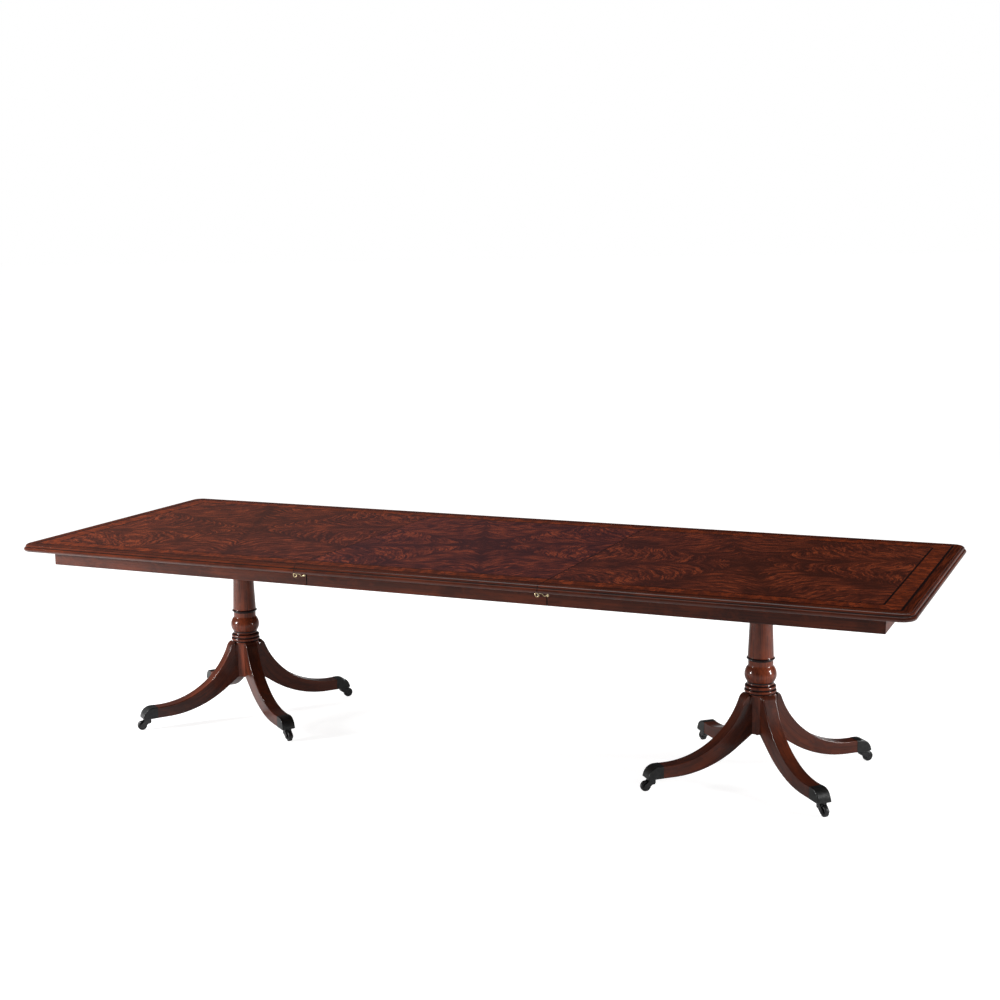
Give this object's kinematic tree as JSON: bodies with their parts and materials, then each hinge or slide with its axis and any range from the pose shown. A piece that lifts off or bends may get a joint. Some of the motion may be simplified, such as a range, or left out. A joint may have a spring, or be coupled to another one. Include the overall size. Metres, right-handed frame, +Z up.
{
  "type": "dining table",
  "caption": "Extending mahogany dining table with a loose centre leaf, on turned twin pedestals with sabre legs and castors",
  "frame": {"origin": "on the floor under the centre of the table", "axes": "+X along the table towards the end that slides out, +Y across it towards the side away from the viewer, +Z up"},
  "size_m": [3.34, 1.19, 0.762],
  "materials": {
    "mahogany": "french-polished, quartered figure with dark stringing on the top",
    "secondary_wood": "bare planed",
    "brass": "worn polish",
    "toe_cap_metal": "dark graphite, satin",
    "castor_metal": "black, glossy",
    "castor_wheel": "black, satin",
    "screw_steel": "plain"
  },
  "bodies": {
    "left_end": {"top_left": "mahogany", "apron_front_left": "mahogany", "apron_back_left": "mahogany", "apron_end_left": "mahogany", "glue_blocks_left": "secondary_wood", "runners_left": "secondary_wood", "bearer_left": "secondary_wood", "screws_left": "screw_steel", "column_left": "mahogany", "leg_block_left": "mahogany", "leg_plate_left": "castor_metal", "leg_left_front_outer": "mahogany", "leg_left_back_outer": "mahogany", "leg_left_back_inner": "mahogany", "leg_left_front_inner": "mahogany", "toe_caps_left": "toe_cap_metal"},
    "right_end": {"top_right": "mahogany", "apron_front_right": "mahogany", "apron_back_right": "mahogany", "apron_end_right": "mahogany", "glue_blocks_right": "secondary_wood", "runners_right": "secondary_wood", "bearer_right": "secondary_wood", "screws_right": "screw_steel", "column_right": "mahogany", "leg_block_right": "mahogany", "leg_plate_right": "castor_metal", "leg_right_front_outer": "mahogany", "leg_right_back_outer": "mahogany", "leg_right_back_inner": "mahogany", "leg_right_front_inner": "mahogany", "toe_caps_right": "toe_cap_metal", "catch_screws_right": "brass"},
    "middle_runners": {"middle_runners": "secondary_wood", "runner_tie": "secondary_wood"},
    "leaf": {"top_leaf": "mahogany", "apron_front_leaf": "mahogany", "apron_back_leaf": "mahogany", "glue_blocks_leaf": "secondary_wood", "catch_keepers_leaf": "screw_steel"},
    "hook_left_front": {"catch_hook_left_front": "brass"},
    "hook_left_back": {"catch_hook_left_back": "brass"},
    "hook_right_front": {"catch_hook_right_front": "brass"},
    "hook_right_back": {"catch_hook_right_back": "brass"},
    "castor_left_front_outer": {"castor_fork_left_front_outer": "castor_metal"},
    "wheel_left_front_outer": {"castor_wheel_left_front_outer": "castor_wheel"},
    "castor_left_back_outer": {"castor_fork_left_back_outer": "castor_metal"},
    "wheel_left_back_outer": {"castor_wheel_left_back_outer": "castor_wheel"},
    "castor_left_back_inner": {"castor_fork_left_back_inner": "castor_metal"},
    "wheel_left_back_inner": {"castor_wheel_left_back_inner": "castor_wheel"},
    "castor_left_front_inner": {"castor_fork_left_front_inner": "castor_metal"},
    "wheel_left_front_inner": {"castor_wheel_left_front_inner": "castor_wheel"},
    "castor_right_front_outer": {"castor_fork_right_front_outer": "castor_metal"},
    "wheel_right_front_outer": {"castor_wheel_right_front_outer": "castor_wheel"},
    "castor_right_back_outer": {"castor_fork_right_back_outer": "castor_metal"},
    "wheel_right_back_outer": {"castor_wheel_right_back_outer": "castor_wheel"},
    "castor_right_back_inner": {"castor_fork_right_back_inner": "castor_metal"},
    "wheel_right_back_inner": {"castor_wheel_right_back_inner": "castor_wheel"},
    "castor_right_front_inner": {"castor_fork_right_front_inner": "castor_metal"},
    "wheel_right_front_inner": {"castor_wheel_right_front_inner": "castor_wheel"}
  },
  "joints": [
    {"name": "extension_slide", "type": "slide", "parent": "left_end", "child": "right_end", "axis": [1, 0, 0], "range_m": [0, 0.1]},
    {"name": "middle_runner_slide", "type": "slide", "parent": "left_end", "child": "middle_runners", "axis": [1, 0, 0], "range_m": [0, 0.05]},
    {"name": "leaf_lift", "type": "slide", "parent": "left_end", "child": "leaf", "axis": [0, 0, 1], "range_m": [0, 0.3]},
    {"name": "hook_left_front_turn", "type": "hinge", "parent": "left_end", "child": "hook_left_front", "pos_m": [-0.471, -0.566, 0.724], "axis": [0, 0, -1], "range_deg": [-8, 100]},
    {"name": "hook_left_back_turn", "type": "hinge", "parent": "left_end", "child": "hook_left_back", "pos_m": [-0.471, 0.566, 0.724], "axis": [0, 0, 1], "range_deg": [-8, 100]},
    {"name": "hook_right_front_turn", "type": "hinge", "parent": "right_end", "child": "hook_right_front", "pos_m": [0.4875, -0.566, 0.724], "axis": [0, 0, 1], "range_deg": [-8, 100]},
    {"name": "hook_right_back_turn", "type": "hinge", "parent": "right_end", "child": "hook_right_back", "pos_m": [0.4875, 0.566, 0.724], "axis": [0, 0, -1], "range_deg": [-8, 100]},
    {"name": "castor_left_front_outer_swivel", "type": "hinge", "parent": "left_end", "child": "castor_left_front_outer", "pos_m": [-1.30856, -0.33383, 0.043], "axis": [0, 0, 1], "continuous": true},
    {"name": "wheel_left_front_outer_spin", "type": "hinge", "parent": "castor_left_front_outer", "child": "wheel_left_front_outer", "pos_m": [-1.3218, -0.3514, 0.0185], "axis": [0.7986, -0.6018, 0], "continuous": true},
    {"name": "castor_left_back_outer_swivel", "type": "hinge", "parent": "left_end", "child": "castor_left_back_outer", "pos_m": [-1.39083, 0.25156, 0.043], "axis": [0, 0, 1], "continuous": true},
    {"name": "wheel_left_back_outer_spin", "type": "hinge", "parent": "castor_left_back_outer", "child": "wheel_left_back_outer", "pos_m": [-1.4084, 0.2648, 0.0185], "axis": [-0.6018, -0.7986, 0], "continuous": true},
    {"name": "castor_left_back_inner_swivel", "type": "hinge", "parent": "left_end", "child": "castor_left_back_inner", "pos_m": [-0.80544, 0.33383, 0.043], "axis": [0, 0, 1], "continuous": true},
    {"name": "wheel_left_back_inner_spin", "type": "hinge", "parent": "castor_left_back_inner", "child": "wheel_left_back_inner", "pos_m": [-0.7922, 0.3514, 0.0185], "axis": [-0.7986, 0.6018, 0], "continuous": true},
    {"name": "castor_left_front_inner_swivel", "type": "hinge", "parent": "left_end", "child": "castor_left_front_inner", "pos_m": [-0.72317, -0.25156, 0.043], "axis": [0, 0, 1], "continuous": true},
    {"name": "wheel_left_front_inner_spin", "type": "hinge", "parent": "castor_left_front_inner", "child": "wheel_left_front_inner", "pos_m": [-0.7056, -0.2648, 0.0185], "axis": [0.6018, 0.7986, 0], "continuous": true},
    {"name": "castor_right_front_outer_swivel", "type": "hinge", "parent": "right_end", "child": "castor_right_front_outer", "pos_m": [1.34207, -0.30571, 0.043], "axis": [0, 0, 1], "continuous": true},
    {"name": "wheel_right_front_outer_spin", "type": "hinge", "parent": "castor_right_front_outer", "child": "wheel_right_front_outer", "pos_m": [1.35708, -0.3218, 0.0185], "axis": [0.7314, 0.682, 0], "continuous": true},
    {"name": "castor_right_back_outer_swivel", "type": "hinge", "parent": "right_end", "child": "castor_right_back_outer", "pos_m": [1.36271, 0.28508, 0.043], "axis": [0, 0, 1], "continuous": true},
    {"name": "wheel_right_back_outer_spin", "type": "hinge", "parent": "castor_right_back_outer", "child": "wheel_right_back_outer", "pos_m": [1.3788, 0.30008, 0.0185], "axis": [-0.682, 0.7314, 0], "continuous": true},
    {"name": "castor_right_back_inner_swivel", "type": "hinge", "parent": "right_end", "child": "castor_right_back_inner", "pos_m": [0.77192, 0.30571, 0.043], "axis": [0, 0, 1], "continuous": true},
    {"name": "wheel_right_back_inner_spin", "type": "hinge", "parent": "castor_right_back_inner", "child": "wheel_right_back_inner", "pos_m": [0.75692, 0.3218, 0.0185], "axis": [-0.7314, -0.682, 0], "continuous": true},
    {"name": "castor_right_front_inner_swivel", "type": "hinge", "parent": "right_end", "child": "castor_right_front_inner", "pos_m": [0.75129, -0.28508, 0.043], "axis": [0, 0, 1], "continuous": true},
    {"name": "wheel_right_front_inner_spin", "type": "hinge", "parent": "castor_right_front_inner", "child": "wheel_right_front_inner", "pos_m": [0.7352, -0.30008, 0.0185], "axis": [0.682, -0.7314, 0], "continuous": true}
  ],
  "couplings": [
    {"joint": "middle_runner_slide", "follows": "extension_slide", "ratio": 0.5}
  ]
}
